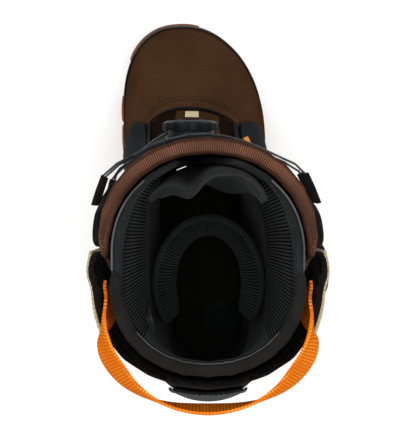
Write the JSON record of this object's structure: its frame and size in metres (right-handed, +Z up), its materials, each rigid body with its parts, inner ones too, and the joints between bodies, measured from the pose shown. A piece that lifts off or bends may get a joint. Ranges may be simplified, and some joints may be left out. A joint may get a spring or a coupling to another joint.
{
  "type": "snowboard boot",
  "caption": "Right-foot snowboard boot with padded liner, ribbed tongue binding, lace dials and an orange webbing pull loop.",
  "frame": {"origin": "on the ground, on the flat tread face under the middle of the foot", "axes": "+Z up, +Y to the toe, +X to the outer side of the foot"},
  "size_m": [0.1538, 0.3094, 0.3014],
  "materials": {
    "brown_canvas": "ripstop weave",
    "black_fabric": "padded synthetic",
    "black_synthetic": "smooth coated synthetic",
    "black_rubber": "fine texture",
    "rust_rubber": "moulded",
    "midsole_foam": "moulded foam",
    "cream_weave": "ribbed weave",
    "rust_grosgrain": "ribbed binding",
    "orange_webbing": "ribbed webbing",
    "liner_knit": "ribbed padded knit",
    "liner_smooth": "smooth padded",
    "grey_piping": "satin",
    "dial_black": "satin moulded",
    "dial_metal": "satin",
    "lace_steel": "stranded, coated",
    "fibre_board": "pressed fibre",
    "red_label": "woven",
    "white_label": "woven"
  },
  "bodies": {
    "lower": {"midsole": "midsole_foam", "outsole_forefoot": "rust_rubber", "outsole_heel": "rust_rubber", "toe_wrap": "rust_rubber", "ball_wrap_front": "rust_rubber", "ball_wrap_middle": "rust_rubber", "ball_wrap_back": "rust_rubber", "lasting_board": "fibre_board", "shank": "dial_metal", "vamp": "brown_canvas", "quarter": "black_fabric", "toe_rand": "black_rubber", "heel_counter": "black_synthetic", "instep_wing_outer": "black_synthetic", "instep_wing_inner": "black_synthetic", "throat_binding": "black_synthetic", "lower_tongue": "brown_canvas", "lower_guide_outer_low": "black_synthetic", "lower_guide_outer_top": "black_synthetic", "lower_guide_inner_low": "black_synthetic", "lower_guide_inner_top": "black_synthetic", "lower_lace": "lace_steel", "liner": "liner_knit", "ankle_pad": "liner_knit", "footbed": "liner_smooth", "heel_pad": "liner_knit"},
    "cuff": {"cuff": "black_fabric", "cuff_panel_outer": "cream_weave", "cuff_panel_inner": "cream_weave", "backstay": "black_synthetic", "side_dial_base": "dial_black", "liner_collar": "liner_smooth", "liner_piping_outer": "grey_piping", "liner_piping_inner": "grey_piping", "liner_label": "white_label", "size_label": "red_label", "harness_loop": "grey_piping", "liner_tongue": "liner_knit"},
    "tongue": {"tongue": "black_fabric", "tongue_binding": "rust_grosgrain", "tongue_plate": "black_synthetic", "tongue_dial_base": "dial_black", "upper_lace": "lace_steel"},
    "flap_outer": {"cuff_flap_outer": "black_fabric", "upper_guide_outer_low": "black_synthetic", "upper_guide_outer_top": "black_synthetic"},
    "flap_inner": {"cuff_flap_inner": "black_fabric", "upper_guide_inner_low": "black_synthetic", "upper_guide_inner_top": "black_synthetic"},
    "pull_loop": {"pull_loop": "orange_webbing"},
    "tongue_dial_cap": {"tongue_dial_cap": "dial_black"},
    "tongue_dial_knob": {"tongue_dial_knob": "dial_black", "tongue_dial_pawl_ring": "dial_black"},
    "tongue_dial_spool": {"tongue_dial_spool": "dial_metal"},
    "side_dial_cap": {"side_dial_cap": "dial_black"},
    "side_dial_knob": {"side_dial_knob": "dial_black", "side_dial_pawl_ring": "dial_black"},
    "side_dial_spool": {"side_dial_spool": "dial_metal"}
  },
  "joints": [
    {"name": "cuff_flex", "type": "hinge", "parent": "lower", "child": "cuff", "pos_m": [0, -0.035, 0.12], "axis": [-1, 0, 0], "range_deg": [0, 11], "stiffness_Nm_per_rad": 100, "deforming": ["liner", "lower_lace"]},
    {"name": "tongue_tilt", "type": "hinge", "parent": "cuff", "child": "tongue", "pos_m": [0, 0.0526, 0.1489], "axis": [-1, 0, 0], "range_deg": [0, 20], "stiffness_Nm_per_rad": 6, "deforming": ["upper_lace"]},
    {"name": "flap_outer_open", "type": "hinge", "parent": "cuff", "child": "flap_outer", "pos_m": [0.0524, -0.0016, 0.1333], "axis": [-0.173, 0.145, -0.9742], "range_deg": [0, 20], "deforming": ["upper_lace"]},
    {"name": "flap_inner_open", "type": "hinge", "parent": "cuff", "child": "flap_inner", "pos_m": [-0.0605, -0.0017, 0.1349], "axis": [-0.109, -0.148, 0.983], "range_deg": [0, 20], "deforming": ["upper_lace"]},
    {"name": "pull_loop_lift", "type": "hinge", "parent": "cuff", "child": "pull_loop", "pos_m": [0, -0.05, 0.255], "axis": [-1, 0, 0], "range_deg": [0, 40], "stiffness_Nm_per_rad": 0.5},
    {"name": "tongue_dial_pull", "type": "slide", "parent": "tongue", "child": "tongue_dial_cap", "axis": [0, 0.9931, 0.117], "range_m": [0, 0.0025]},
    {"name": "tongue_dial_turn", "type": "hinge", "parent": "tongue_dial_cap", "child": "tongue_dial_knob", "pos_m": [-0.012, 0.05105, 0.17612], "axis": [0, 0.9931, 0.117], "continuous": true},
    {"name": "tongue_dial_wind", "type": "hinge", "parent": "tongue", "child": "tongue_dial_spool", "pos_m": [-0.012, 0.05105, 0.17612], "axis": [0, 0.9931, 0.117], "continuous": true},
    {"name": "side_dial_pull", "type": "slide", "parent": "cuff", "child": "side_dial_cap", "axis": [0.9886, 0.0238, -0.1484], "range_m": [0, 0.0025]},
    {"name": "side_dial_turn", "type": "hinge", "parent": "side_dial_cap", "child": "side_dial_knob", "pos_m": [0.06023, -0.03459, 0.1947], "axis": [0.9886, 0.0238, -0.1484], "continuous": true},
    {"name": "side_dial_wind", "type": "hinge", "parent": "cuff", "child": "side_dial_spool", "pos_m": [0.06023, -0.03459, 0.1947], "axis": [0.9886, 0.0238, -0.1484], "continuous": true}
  ],
  "couplings": [
    {"joint": "flap_outer_open", "follows": "tongue_tilt", "ratio": 1},
    {"joint": "flap_inner_open", "follows": "tongue_tilt", "ratio": 1},
    {"joint": "tongue_dial_wind", "follows": "tongue_dial_turn", "ratio": 1},
    {"joint": "side_dial_wind", "follows": "side_dial_turn", "ratio": 1}
  ]
}
